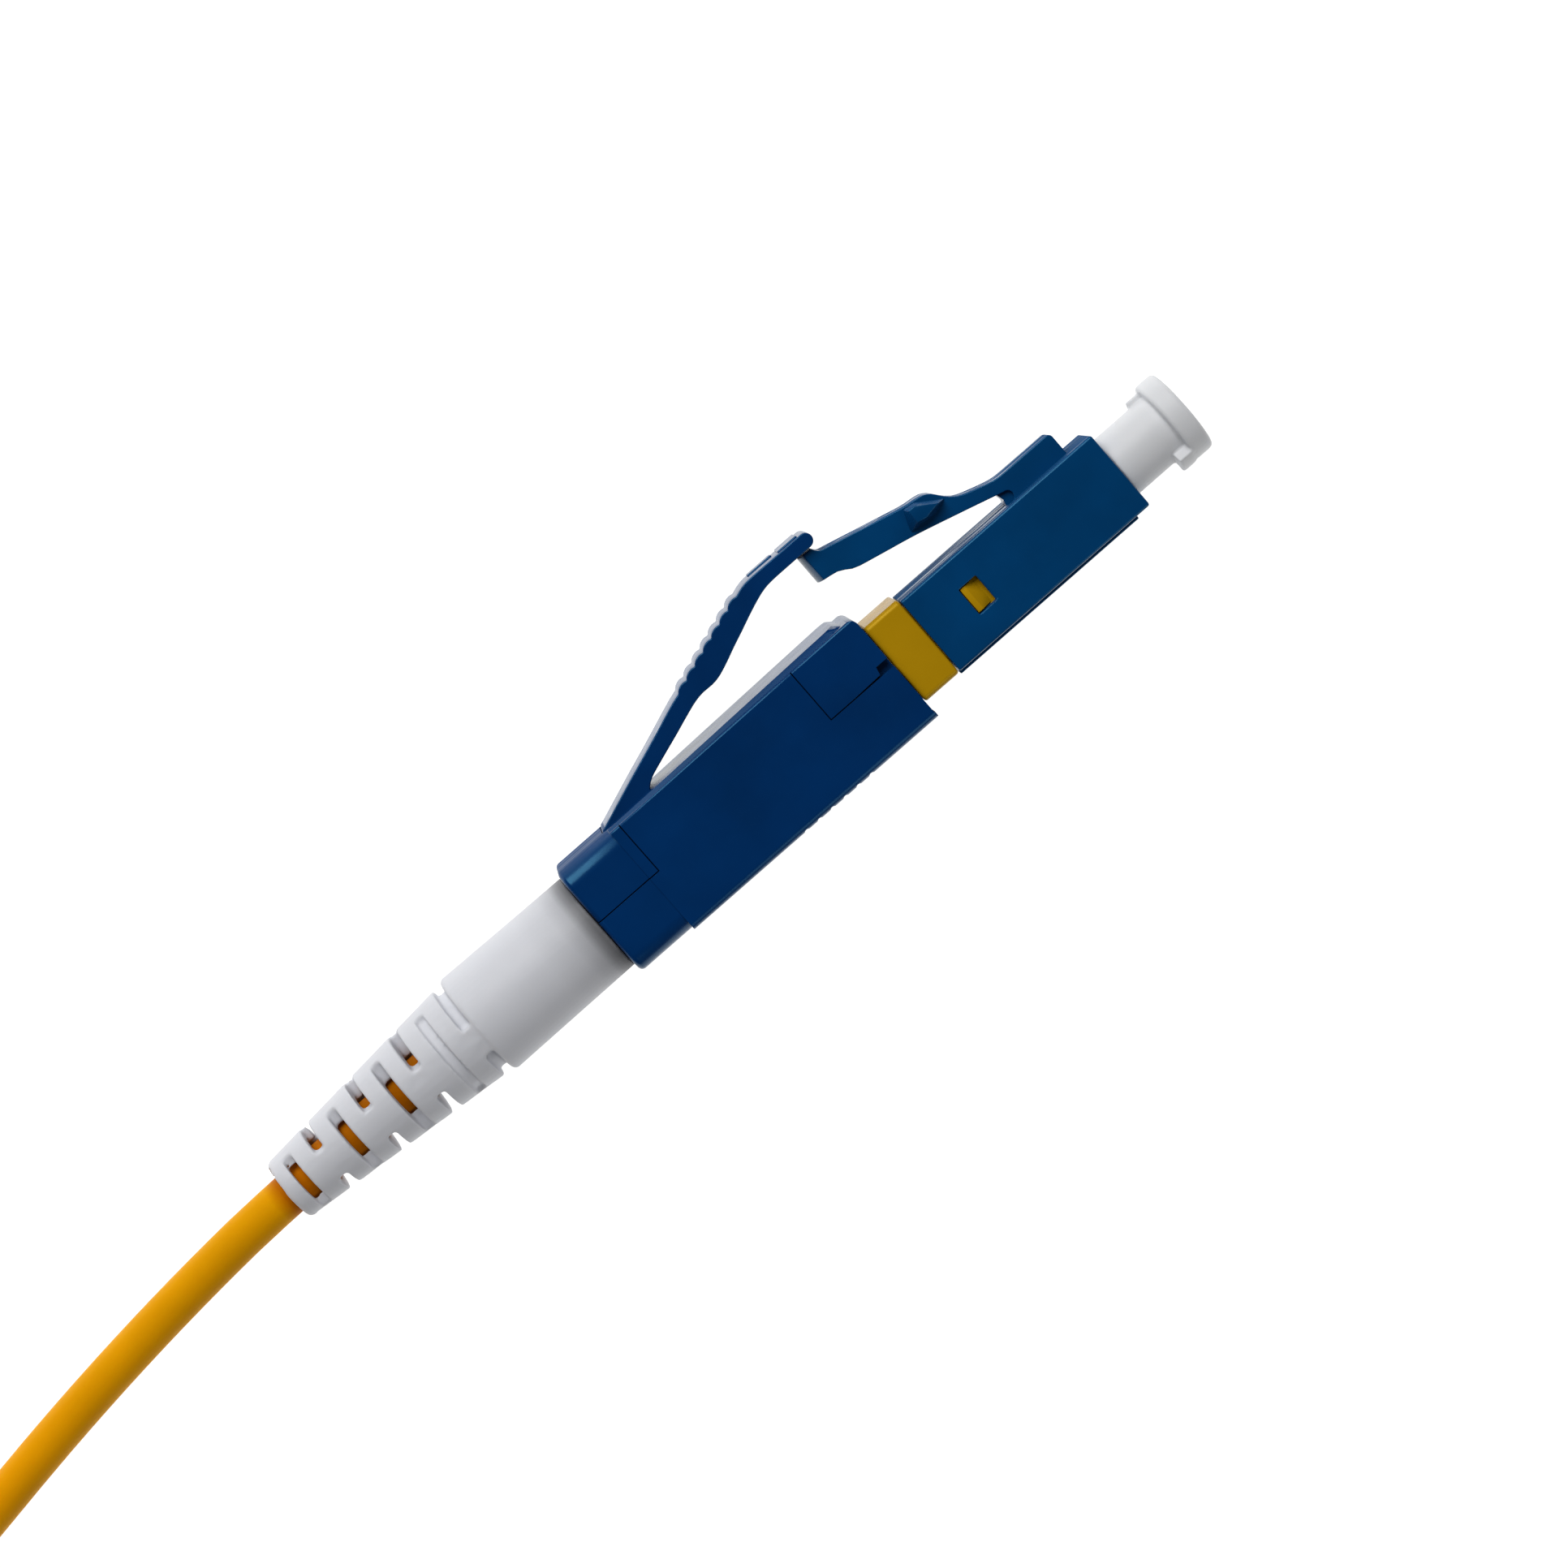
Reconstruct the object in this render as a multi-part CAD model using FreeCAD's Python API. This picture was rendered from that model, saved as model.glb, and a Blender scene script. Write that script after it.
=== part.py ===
import FreeCAD, Part
import math
import os
from FreeCAD import Vector

# A simplex LC fibre connector with a trigger clip, a slotted boot, a dust cap and a one metre tail.
# +X runs along the ferrule axis towards the mating end, +Y points to the latch side and +Z up.
# The origin is the middle of the front housing's mating face. The connector lies on its side, on the
# flank of its rear housing. Lengths are in millimetres, angles in degrees.

# --- Fits ---------------------------------------------------------------------------------------
glue_gap = 0.01  # radial, between pieces that are pressed or glued together
slip_gap = 0.03  # each side, between pieces that slide or turn in one another
seat_gap = 0.05  # between faces that come to rest on each other
seam_gap = 0.06  # between the trigger clip and the rear housing

# --- Front housing ------------------------------------------------------------------------------
front_length = 12.62
front_side = 4.52
front_edge = 0.15
sleeve_bore_r = 1.55  # takes the adapter's alignment sleeve
sleeve_bore_depth = 4.6
seat_wall = 0.8  # web that the ferrule flange rests against
seat_hole_r = 0.95
pocket_r = 1.5  # round pocket behind the web, for the flange
pocket_length = 2.2
cavity_side = 3.5  # square cavity that the inner body is pushed into
cavity_corner = 0.4
window_start = 8.92  # snap window, behind the mating face
window_length = 1.12
window_height = 1.6
keel_start = 0.75
keel_height = 0.28
keel_width = 2.0

# --- Latch arm, moulded on the front housing ----------------------------------------------------
latch_width = 2.2
latch_root_start = 1.39  # front of the root block, behind the mating face
latch_root_length = 3.66
latch_root_height = 1.36  # above the housing's top face
latch_root_round = 0.15
latch_slot_r = 0.32  # round end of the slot under the arm
latch_slot_depth = 0.65  # the slot's upper edge above the housing's top face
latch_flex_thickness = 0.64
latch_flex_slope = 15.0
latch_flex_reach = 0.85  # from the root block's back to the flexing line
latch_web_width = 1.6  # web that fills the slot's end, set back from both sides
latch_web_reach = 0.35
latch_end_x = -14.72  # side edge of the free end
latch_end_bulge = 0.3  # the free end is rounded in plan
latch_end_top = 4.88  # above the housing's top face
latch_lug_width = 3.9
latch_lug_x = -9.43  # rear stop faces of the two side lugs

# --- Inner body, with the collar and the crimp barrel -------------------------------------------
collar_gap = 0.13
collar_length = 2.12
collar_side = 4.57
collar_edge = 0.3
insert_gap = 0.3  # between the insert's front and the end of the square cavity
barb_height = 0.42
spring_bore_r = 1.3
spring_bore_depth = 3.25  # from the insert's front face
tail_bore_r = 0.92
neck_r = 1.9
neck_length = 3.1
snap_ring_r = 2.12
snap_ring_length = 0.8
barrel_r = 1.3
barrel_length = 6.0
barrel_bore_r = 0.62
barrel_ring_depth = 0.08
barrel_rings = 5

# --- Ferrule, flange, spring and fibre ----------------------------------------------------------
ferrule_r = 0.6245
ferrule_length = 6.9
ferrule_stick_out = 0.3
ferrule_chamfer = 0.22
ferrule_bore_r = 0.075
ferrule_funnel_r = 0.3
fibre_r = 0.0625
coating_r = 0.125
flange_flats = 2.5  # across the hexagon's flats
flange_length = 1.4
flange_nose_length = 0.5
tail_tube_r = 0.8
tail_tube_bore_r = 0.5
tail_tube_length = 4.7
spring_wire_r = 0.15
spring_mean_r = 1.0
spring_turns = 7.5

# --- Rear housing and trigger clip --------------------------------------------------------------
rear_gap = 0.1
rear_block_length = 16.13
rear_section_length = 3.4
rear_width = 5.9
rear_bottom = -3.25
rear_top = 3.33
side_top = 3.22  # the block's top beside the ridge, at its rear end
side_top_rise = 0.13  # the block's top rises this much towards the front
ridge_width = 3.3  # raised middle of the block's top
ridge_rise = 0.3
ridge_end = 1.05  # from the ridge's front end to the block's front face
ridge_round = 0.6  # front corners of the ridge, seen from above
rear_section_inset = 0.08
rear_section_round = 1.05
block_top_round = 0.14
block_front_round = 0.45
block_bottom_round = 0.42
crimp_cavity_r = 2.12
lip_length = 0.06
lip_height = 0.3
groove_count = 6
groove_pitch = 0.856
groove_start = 4.38  # first bottom groove, behind the rear housing's front face
groove_r = 0.2
groove_depth = 0.09
plate_width = 4.6
plate_thickness = 0.55
seam_y = 0.18  # level of the legs' lower edges
leg_length = 4.13
saddle_overlap = 0.6  # the rear saddle's reach onto the block
notch_length = 0.95
notch_height = 0.5
notch_slant = 0.22
leg_lift = 0.1  # opening under the front leg's front end

# --- Trigger lever, moulded on the clip ---------------------------------------------------------
lever_width = 3.2
lever_thickness = 0.88
lever_root_x = -31.5
lever_hinge_x = -27.3
lever_hinge_rise = 1.08  # flexing line above the housing's top
lever_pad_gap = 0.11  # above the latch's free end
lever_pad_length = 4.13  # flat stretch over the latch's end, from the bend to the tip
lever_pad_thickness = 0.8
lever_bend_tangent = 0.9
lever_tip_x = -13.77
lever_bump_count = 7
lever_bump_pitch = 0.81
lever_bump_height = 0.15
lever_bump_start = 3.86  # first grip bump, along the lever from the flexing line
lever_knee_start = 4.15  # the grip is thicker from here on, measured along the lever
lever_knee_length = 1.6
lever_knee_depth = 0.38
lever_bend_depth = 0.17  # what is left of the extra thickness at the bend
bead_height = 0.13
cove_angle = 75.0  # half the angle that each flexing line's cove wraps round its knuckle

# --- Crimp, boot and cable ----------------------------------------------------------------------
cable_r = 1.1
cable_bore_r = 0.75
cable_bore_length = 13.0
buffer_r = 0.45
buffer_bore_r = 0.14
buffer_length = 29.5
yarn_thickness = 0.15
yarn_grip_length = 5.2
yarn_gap = 1.0  # from the barrel's end to the jacket's end
crimp_wall = 0.25
crimp_neck_length = 3.2
boot_r = 2.86
boot_barrel_length = 8.04
boot_taper_r = 2.74
boot_tip_r = 1.7
boot_length = 20.7
boot_edge = 0.3
boot_bore_gap = 0.16
boot_neck_r = 2.05
boot_neck_length = 4.2
boot_core_r = 2.3
boot_core_length = 11.0
boot_slots = 8
boot_slot_pitch = 1.6
boot_slot_width = 0.56
boot_slot_floor = 0.82
boot_slot_end = 1.15  # last slot from the boot's thin end
boot_turn = 7.0

# --- Dust cap -----------------------------------------------------------------------------------
cap_r = 1.78
cap_barrel_length = 3.38
cap_flange_r = 2.39
cap_flange_length = 1.19
cap_flange_edge = 0.22
cap_plug_length = 4.35
cap_bore_depth = 2.2  # in front of the mating face
cap_ear_length = 0.8
cap_ear_r = 2.44
cap_ear_low_r = 2.12  # the ear on the other side is lower
cap_ear_angle = 50.0
cap_turn = -20.0

# --- Tail: the stretch to the hank, and the hank ------------------------------------------------
tail_length = 1000.0
strand_pitch = 2.25
hank_bend_r = 6.7  # inner turns
hank_layers = 5
hank_edge = 0.9
hank_entry = (-91.0, -4.7)  # where the tail joins the hank's outer turn
strap_thickness = 0.3
strap_width = 4.0
strap_overlap = 3.0

# --- Places worked out from the sizes -----------------------------------------------------------
front_top = front_side / 2
seat_x = -(sleeve_bore_depth + seat_wall)
cavity_x = seat_x - pocket_length
collar_x = -(front_length + collar_gap)
collar_back_x = collar_x - collar_length
insert_x = cavity_x - insert_gap
spring_seat_x = insert_x - spring_bore_depth
neck_back_x = collar_back_x - neck_length
barrel_back_x = neck_back_x - barrel_length
flange_x = seat_x - seat_gap
flange_back_x = flange_x - flange_length
ferrule_tip_x = ferrule_stick_out
ferrule_back_x = ferrule_tip_x - ferrule_length
rear_x = collar_back_x - rear_gap
step_x = rear_x - rear_block_length
rear_back_x = step_x - rear_section_length
boot_x = rear_back_x - seat_gap
boot_back_x = boot_x - boot_length
boot_neck_x = boot_x + boot_neck_length
cable_x = barrel_back_x - yarn_gap
floor_z = -rear_width / 2
hank_z = floor_z + strap_thickness + slip_gap
latch_flex = Vector(
    -(latch_root_start + latch_root_length + latch_flex_reach),
    front_top
    + latch_slot_depth
    + latch_flex_reach * math.tan(math.radians(latch_flex_slope))
    + latch_flex_thickness / 2,
    0,
)
latch_top_y = front_top + latch_end_top
lever_flex = Vector(lever_hinge_x, rear_top + lever_hinge_rise, 0)
lever_pad_y = latch_top_y + lever_pad_gap  # underside of the flat stretch

os.makedirs("parts", exist_ok=True)


# --- Helpers ------------------------------------------------------------------------------------
def box(x0, x1, y0, y1, z0, z1):
    corner = Vector(min(x0, x1), min(y0, y1), min(z0, z1))
    return Part.makeBox(abs(x1 - x0), abs(y1 - y0), abs(z1 - z0), corner)


def square_bar(x0, x1, side, edge):
    """A square bar along the axis, with its four long edges rounded."""
    bar = box(x0, x1, -side / 2, side / 2, -side / 2, side / 2)
    long_edges = [e for e in bar.Edges if abs(e.tangentAt(e.FirstParameter).x) > 0.99]
    return bar.makeFillet(edge, long_edges)


def rod(x0, x1, r):
    return Part.makeCylinder(r, abs(x1 - x0), Vector(min(x0, x1), 0, 0), Vector(1, 0, 0))


def turned(points):
    """Revolve an outline of (x, radius) points about the ferrule axis."""
    wire = Part.makePolygon([Vector(x, r, 0) for x, r in points + points[:1]])
    return Part.Face(wire).revolve(Vector(0, 0, 0), Vector(1, 0, 0), 360)


def outline(start, *steps):
    """A closed wire in the XY plane: each step is a corner, or a (through, end) pair for an arc."""
    edges = []
    here = Vector(*start, 0)
    for step in steps:
        if isinstance(step[0], tuple):
            through, end = (Vector(*p, 0) for p in step)
            edges.append(Part.Arc(here, through, end).toShape())
        else:
            end = Vector(*step, 0)
            edges.append(Part.LineSegment(here, end).toShape())
        here = end
    if not here.isEqual(Vector(*start, 0), 1e-6):
        edges.append(Part.LineSegment(here, Vector(*start, 0)).toShape())
    return Part.Wire(edges)


def prism(wire, z0, z1):
    face = Part.Face(wire)
    face.translate(Vector(0, 0, z0))
    return face.extrude(Vector(0, 0, z1 - z0))


def slab(wire, width):
    return prism(wire, -width / 2, width / 2)


def knuckle(centre, r, width):
    return Part.makeCylinder(r, width, Vector(centre.x, centre.y, -width / 2), Vector(0, 0, 1))


def along(origin, angle, distance, aside=0.0):
    """The point that lies so far from the origin along a slope, and so far to its left."""
    turn = math.radians(angle)
    x = origin.x + distance * math.cos(turn) - aside * math.sin(turn)
    y = origin.y + distance * math.sin(turn) + aside * math.cos(turn)
    return (x, y)


def save(name, shape):
    shape.exportStep(f"parts/{name}.step")
    print(f"{name}: {len(shape.Solids)} solid, {shape.Volume:.3f} mm3, valid {shape.isValid()}")


# --- Front housing and latch --------------------------------------------------------------------
def front_housing():
    body = square_bar(-front_length, 0, front_side, front_edge)
    mouth_edges = [e for e in body.Edges if abs(e.CenterOfMass.x) < 1e-6]
    body = body.makeFillet(front_edge * 0.9, mouth_edges)
    root_x = -latch_root_start
    root_back_x = root_x - latch_root_length
    root = box(root_back_x, root_x, 0, front_top + latch_root_height, -latch_width / 2, latch_width / 2)
    top_y = front_top + latch_root_height
    top_edges = [e for e in root.Edges if abs(e.CenterOfMass.y - top_y) < 1e-6]
    root = root.makeFillet(latch_root_round, [e for e in top_edges if e.CenterOfMass.x > root_back_x + 1e-6])
    body = body.fuse(root).fuse(flexure_stub())
    slot_centre = Vector(root_back_x, front_top + latch_slot_r, 0)
    body = body.cut(knuckle(slot_centre, latch_slot_r, latch_width + 1))
    web_x = root_back_x - latch_web_reach
    web_top = front_top + latch_slot_depth + 0.05
    web = box(web_x, root_x - 1, front_top - 0.1, web_top, -latch_web_width / 2, latch_web_width / 2)
    web = web.cut(knuckle(Vector(web_x, front_top + latch_slot_r, 0), latch_slot_r, latch_width))
    body = body.fuse(web)
    keel = box(-front_length, -keel_start, 0, 2 * keel_height, -keel_width / 2, keel_width / 2)
    keel.translate(Vector(0, -front_top - keel_height, 0))
    body = body.fuse(keel)
    body = body.cut(rod(seat_x - 0.1, 1, seat_hole_r))
    body = body.cut(rod(-sleeve_bore_depth, 1, sleeve_bore_r))
    body = body.cut(rod(cavity_x - 0.1, seat_x, pocket_r))
    body = body.cut(square_bar(-front_length - 1, cavity_x, cavity_side, cavity_corner))
    window_x = -window_start - window_length
    half = window_height / 2
    return body.cut(box(window_x, -window_start, -half, half, -front_side, front_side)).removeSplitter()


def flexure_stub():
    """The thin root of the latch arm, from the root block to the flexing line."""
    half = latch_flex_thickness / 2
    root_x = -(latch_root_start + latch_root_length)
    inner_x = root_x + latch_root_round
    up = 180 - latch_flex_slope
    stub = slab(
        outline(
            (inner_x, front_top + latch_slot_depth - 0.1),
            (root_x, front_top + latch_slot_depth),
            along(latch_flex, up, 0, half),
            along(latch_flex, up, 0, -half),
            (root_x, front_top + latch_root_height),
            (inner_x, front_top + latch_root_height),
        ),
        latch_width,
    )
    stub = stub.cut(knuckle(latch_flex, half + slip_gap, latch_width + 1))
    return stub.cut(cove_trim(latch_flex, up, half, latch_width))


def cove_trim(centre, slope, r, width):
    """A block that takes away what the cove would wrap round the knuckle beyond the cove angle."""
    start = r * math.cos(math.radians(cove_angle))
    reach = 4 * r
    return slab(
        outline(
            along(centre, slope, -start, reach),
            along(centre, slope, reach, reach),
            along(centre, slope, reach, -reach),
            along(centre, slope, -start, -reach),
        ),
        width + 1,
    )


def latch_arm():
    half = latch_flex_thickness / 2
    up = 180 - latch_flex_slope
    top = latch_top_y
    arm = slab(
        outline(
            along(latch_flex, up, 0, half),
            along(latch_flex, up, 1.4, half),
            (latch_lug_x - 0.3, top - 3.02),
            (-13.0, top - 2.32),
            ((-13.55, top - 2.02), (-13.9, top - 1.8)),
            (latch_end_x - latch_end_bulge, top - 1.62),
            (latch_end_x - latch_end_bulge, top),
            (-14.2, top),
            (-13.95, top - 0.42),
            (latch_lug_x, top - 1.52),
            (-8.3, top - 1.72),
            ((-7.6, top - 2.1), (-7.3, top - 2.58)),
            along(latch_flex, up, 1.4, -half),
            along(latch_flex, up, 0, -half),
        ),
        latch_width,
    )
    arm = arm.fuse(knuckle(latch_flex, half, latch_width))
    lug = slab(
        outline(
            (latch_lug_x, top - 2.51),
            (latch_lug_x, top - 1.56),
            (latch_lug_x + 0.33, top - 1.58),
            (-7.6, top - 2.34),
            (-8.15, top - 2.43),
        ),
        latch_lug_width,
    )
    arm = arm.fuse(lug)
    return arm.common(latch_plan()).removeSplitter()


def latch_plan():
    """The latch arm's outline from above, with its free end rounded."""
    half = latch_width / 2
    end_r = (half**2 + latch_end_bulge**2) / (2 * latch_end_bulge)
    centre_x = latch_end_x - latch_end_bulge + end_r
    end = Part.makeCylinder(end_r, 3 * front_side, Vector(centre_x, 0, 0), Vector(0, 1, 0))
    end = end.common(box(latch_end_x - end_r, centre_x, 0, 3 * front_side, -half, half))
    rest = box(latch_end_x + 1, 0, 0, 3 * front_side, -latch_lug_width, latch_lug_width)
    return end.fuse(rest)


# --- Inner body ---------------------------------------------------------------------------------
def inner_body():
    insert_side = cavity_side - 2 * slip_gap
    body = square_bar(collar_x, insert_x, insert_side, cavity_corner)
    collar = square_bar(collar_back_x, collar_x, collar_side, collar_edge)
    end_edges = [e for e in collar.Edges if abs(e.tangentAt(e.FirstParameter).x) < 0.01]
    body = body.fuse(collar.makeFillet(collar_edge * 0.5, end_edges))
    body = body.fuse(rod(neck_back_x, collar_back_x, neck_r))
    ring_x = collar_back_x - neck_length / 2
    body = body.fuse(rod(ring_x - snap_ring_length, ring_x, snap_ring_r))
    body = body.fuse(crimp_barrel())
    for side in (1, -1):
        body = body.fuse(barb(side, insert_side / 2))
    body = body.cut(rod(spring_seat_x, insert_x + 1, spring_bore_r))
    body = body.cut(rod(collar_back_x, spring_seat_x, tail_bore_r))
    return body.cut(rod(barrel_back_x - 1, collar_back_x, barrel_bore_r)).removeSplitter()


def barb(side, flank_z):
    """The ramp that snaps into a window of the front housing, steep at its back."""
    back_x = -(window_start + window_length) + seat_gap
    front_x = -window_start - seat_gap
    top_z = flank_z + barb_height
    width = window_height - 2 * seat_gap
    face = Part.Face(
        Part.makePolygon(
            [
                Vector(back_x, -width / 2, side * (flank_z - 0.1)),
                Vector(back_x, -width / 2, side * top_z),
                Vector(back_x + 0.3, -width / 2, side * top_z),
                Vector(front_x, -width / 2, side * (flank_z - 0.1)),
                Vector(back_x, -width / 2, side * (flank_z - 0.1)),
            ]
        )
    )
    return face.extrude(Vector(0, width, 0))


def crimp_barrel():
    barrel = rod(barrel_back_x, neck_back_x, barrel_r)
    pitch = barrel_length / (barrel_rings + 1)
    for ring in range(1, barrel_rings + 1):
        x = neck_back_x - ring * pitch
        groove = rod(x - pitch / 4, x + pitch / 4, barrel_r + 1)
        barrel = barrel.cut(groove.cut(rod(x - 1, x + 1, barrel_r - barrel_ring_depth)))
    return barrel


# --- Ferrule unit -------------------------------------------------------------------------------
def ferrule():
    tip_r = ferrule_r - ferrule_chamfer
    body = turned(
        [
            (ferrule_back_x, ferrule_funnel_r),
            (ferrule_back_x, ferrule_r),
            (ferrule_tip_x - 2 * ferrule_chamfer, ferrule_r),
            (ferrule_tip_x, tip_r),
            (ferrule_tip_x, ferrule_bore_r),
            (ferrule_back_x + 0.6, ferrule_bore_r),
        ]
    )
    return body


def ferrule_flange():
    """A hexagon collar with a nose in front, and the tail tube that the spring slides over."""
    corner_r = flange_flats / 2 / math.cos(math.radians(30))
    corners = [
        Vector(flange_back_x, corner_r * math.cos(math.radians(a)), corner_r * math.sin(math.radians(a)))
        for a in range(0, 361, 60)
    ]
    hexagon = Part.Face(Part.makePolygon(corners)).extrude(Vector(flange_length, 0, 0))
    nose = turned(
        [
            (flange_x, 0),
            (flange_x, seat_hole_r - slip_gap),
            (flange_x + flange_nose_length, seat_hole_r - 4 * slip_gap),
            (flange_x + flange_nose_length, 0),
        ]
    )
    tail_x = flange_back_x - tail_tube_length
    body = hexagon.fuse(nose).fuse(rod(tail_x, flange_back_x, tail_tube_r))
    body = body.common(rod(tail_x, flange_x + 1, pocket_r - 2 * slip_gap))
    body = body.cut(rod(ferrule_back_x - glue_gap, 1, ferrule_r + glue_gap))
    return body.cut(rod(tail_x - 1, ferrule_back_x, tail_tube_bore_r)).removeSplitter()


def spring():
    front_x = flange_back_x - spring_wire_r - slip_gap
    back_x = spring_seat_x + spring_wire_r + slip_gap
    height = front_x - back_x
    path = Part.makeHelix(height / spring_turns, height, spring_mean_r)
    section = Part.Wire(Part.makeCircle(spring_wire_r, Vector(spring_mean_r, 0, 0), Vector(0, 1, 0)))
    coil = Part.Wire(path).makePipeShell([section], True, True)
    coil.rotate(Vector(0, 0, 0), Vector(0, 1, 0), 90)
    coil.translate(Vector(back_x, 0, 0))
    return coil


def fibre():
    bare_back_x = ferrule_back_x + 0.3
    end_x = flange_back_x - tail_tube_length - 1
    return turned(
        [
            (end_x, 0),
            (end_x, coating_r),
            (bare_back_x, coating_r),
            (bare_back_x, fibre_r),
            (ferrule_tip_x, fibre_r),
            (ferrule_tip_x, 0),
        ]
    )


def buffer_tube():
    front_x = ferrule_back_x - seat_gap
    tube = rod(front_x - buffer_length, front_x, buffer_r)
    return tube.cut(rod(front_x - buffer_length / 3, front_x + 1, buffer_bore_r))


# --- Rear housing and trigger clip --------------------------------------------------------------
def rear_envelope():
    """The outer form that the rear housing and the trigger clip share."""
    half = rear_width / 2
    front_y = side_top + side_top_rise
    corners = [(step_x, rear_bottom), (rear_x, rear_bottom), (rear_x, front_y), (step_x, side_top)]
    block = slab(outline(*corners), rear_width)
    long_edges = [e for e in block.Edges if abs(e.tangentAt(e.FirstParameter).x) > 0.9]
    top = [e for e in long_edges if e.CenterOfMass.y > 0]
    block = block.makeFillet(block_top_round, top)
    bottom = [e for e in block.Edges if e.Length > 1 and abs(e.CenterOfMass.y - rear_bottom) < 1e-6]
    bottom = [e for e in bottom if abs(e.tangentAt(e.FirstParameter).x) > 0.9]
    block = block.makeFillet(block_bottom_round, bottom)
    block = block.cut(front_corner_cut())
    inset = rear_section_inset
    section = box(rear_back_x, step_x + 0.5, rear_bottom + inset, rear_top, -half + inset, half - inset)
    long_edges = [e for e in section.Edges if abs(e.tangentAt(e.FirstParameter).x) > 0.99]
    section = section.makeFillet(rear_section_round, long_edges)
    back_edges = [e for e in section.Edges if abs(e.CenterOfMass.x - rear_back_x) < 1e-6]
    section = section.makeFillet(2 * block_top_round, back_edges)
    lip = box(rear_x - 0.2, rear_x + lip_length, 0, lip_height, -half + 0.5, half - 0.5)
    lip.translate(Vector(0, rear_bottom, 0))
    return block.fuse(section).fuse(ridge()).fuse(lip)


def ridge():
    """The raised middle of the block's top, which carries the lever and rises to its front end."""
    front_x = rear_x - ridge_end
    half = ridge_width / 2
    side = slab(
        outline(
            (step_x, rear_bottom / 2),
            (front_x, rear_bottom / 2),
            (front_x, rear_top + ridge_rise),
            (step_x, rear_top),
        ),
        ridge_width,
    )
    plan = box(step_x, front_x, 0, 2 * rear_top, -half, half)
    corners = [e for e in plan.Edges if abs(e.CenterOfMass.x - front_x) < 1e-6 and e.Length > ridge_width]
    side = side.common(plan.makeFillet(ridge_round, corners))
    rim = [e for e in side.Edges if e.CenterOfMass.y > rear_top + ridge_rise - 0.02]
    return side.makeFillet(block_top_round, rim)


def front_corner_cut():
    """What the rounded upper edge of the block's front end takes away."""
    r = block_front_round
    top = side_top + side_top_rise
    centre = Vector(rear_x - r, top - r, 0)
    return slab(
        outline(
            (centre.x, top),
            (along(centre, 45, r), (rear_x, centre.y)),
            (rear_x + 1, centre.y),
            (rear_x + 1, top + 1),
            (centre.x, top + 1),
        ),
        rear_width + 1,
    )


def rear_bores():
    """The stepped hole that takes the neck, its snap ring, the crimp and the boot's neck."""
    ring_x = collar_back_x - neck_length / 2
    holes = rod(neck_back_x, rear_x + 1, neck_r + slip_gap)
    holes = holes.fuse(rod(ring_x - snap_ring_length - slip_gap, ring_x + slip_gap, snap_ring_r + slip_gap))
    holes = holes.fuse(rod(boot_neck_x, neck_back_x + slip_gap, crimp_cavity_r))
    return holes.fuse(rod(rear_back_x - 1, boot_neck_x + slip_gap, boot_neck_r + slip_gap))


def clip_zone(grow):
    """The space that the clip fills within the envelope: a top plate with a pair of legs at each end."""
    big = 2 * rear_width
    under_back = rear_top - plate_thickness - grow
    under_front = under_back + side_top_rise
    plate = outline(
        (rear_back_x - 1, under_back),
        (step_x, under_back),
        (rear_x + 1, under_front),
        (rear_x + 1, big),
        (rear_back_x - 1, big),
    )
    front_legs = box(rear_x - leg_length - grow, rear_x + 1, seam_y - grow, big, -big, big)
    back_legs = box(rear_back_x - 1, step_x + saddle_overlap + grow, seam_y - grow, big, -big, big)
    core = outline(
        (rear_back_x - 2, 0),
        (rear_x + 2, 0),
        (rear_x + 2, under_front),
        (rear_x + 1, under_front),
        (step_x, under_back),
        (rear_back_x - 2, under_back),
    )
    legs = front_legs.fuse(back_legs).cut(slab(core, plate_width - 2 * grow))
    return slab(plate, plate_width + 2 * grow).fuse(legs)


def rear_housing():
    body = rear_envelope().cut(clip_zone(seam_gap / 2)).cut(rear_bores())
    for groove in range(groove_count):
        x = rear_x - groove_start - groove * groove_pitch
        centre = Vector(x, rear_bottom - groove_r + groove_depth, 0)
        body = body.cut(knuckle(centre, groove_r, rear_width + 1))
    return body


def trigger_clip():
    body = rear_envelope().common(clip_zone(-seam_gap / 2)).cut(rear_bores())
    body = body.fuse(lever_root())
    notch = outline(
        (rear_x - notch_length, seam_y - 0.5),
        (rear_x - notch_length + notch_slant, seam_y + notch_height),
        (rear_x + 1, seam_y + notch_height),
        (rear_x + 1, seam_y - 0.5),
    )
    gap = outline(
        (rear_x - leg_length + 0.5, seam_y - 0.5),
        (rear_x - leg_length + 0.5, seam_y),
        (rear_x, seam_y + leg_lift),
        (rear_x, seam_y - 0.5),
    )
    return body.cut(slab(notch, 2 * rear_width)).cut(slab(gap, 2 * rear_width)).removeSplitter()


def lever_bend():
    """From the flexing line to the middle of the bend, where the flat stretch starts."""
    middle_y = lever_pad_y + lever_pad_thickness / 2
    return Vector(lever_tip_x - lever_pad_length, middle_y, 0) - lever_flex


def lever_slope():
    """The lever's slope between its flexing line and the bend into the flat stretch."""
    bend = lever_bend()
    return math.degrees(math.atan2(bend.y, bend.x))


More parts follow.
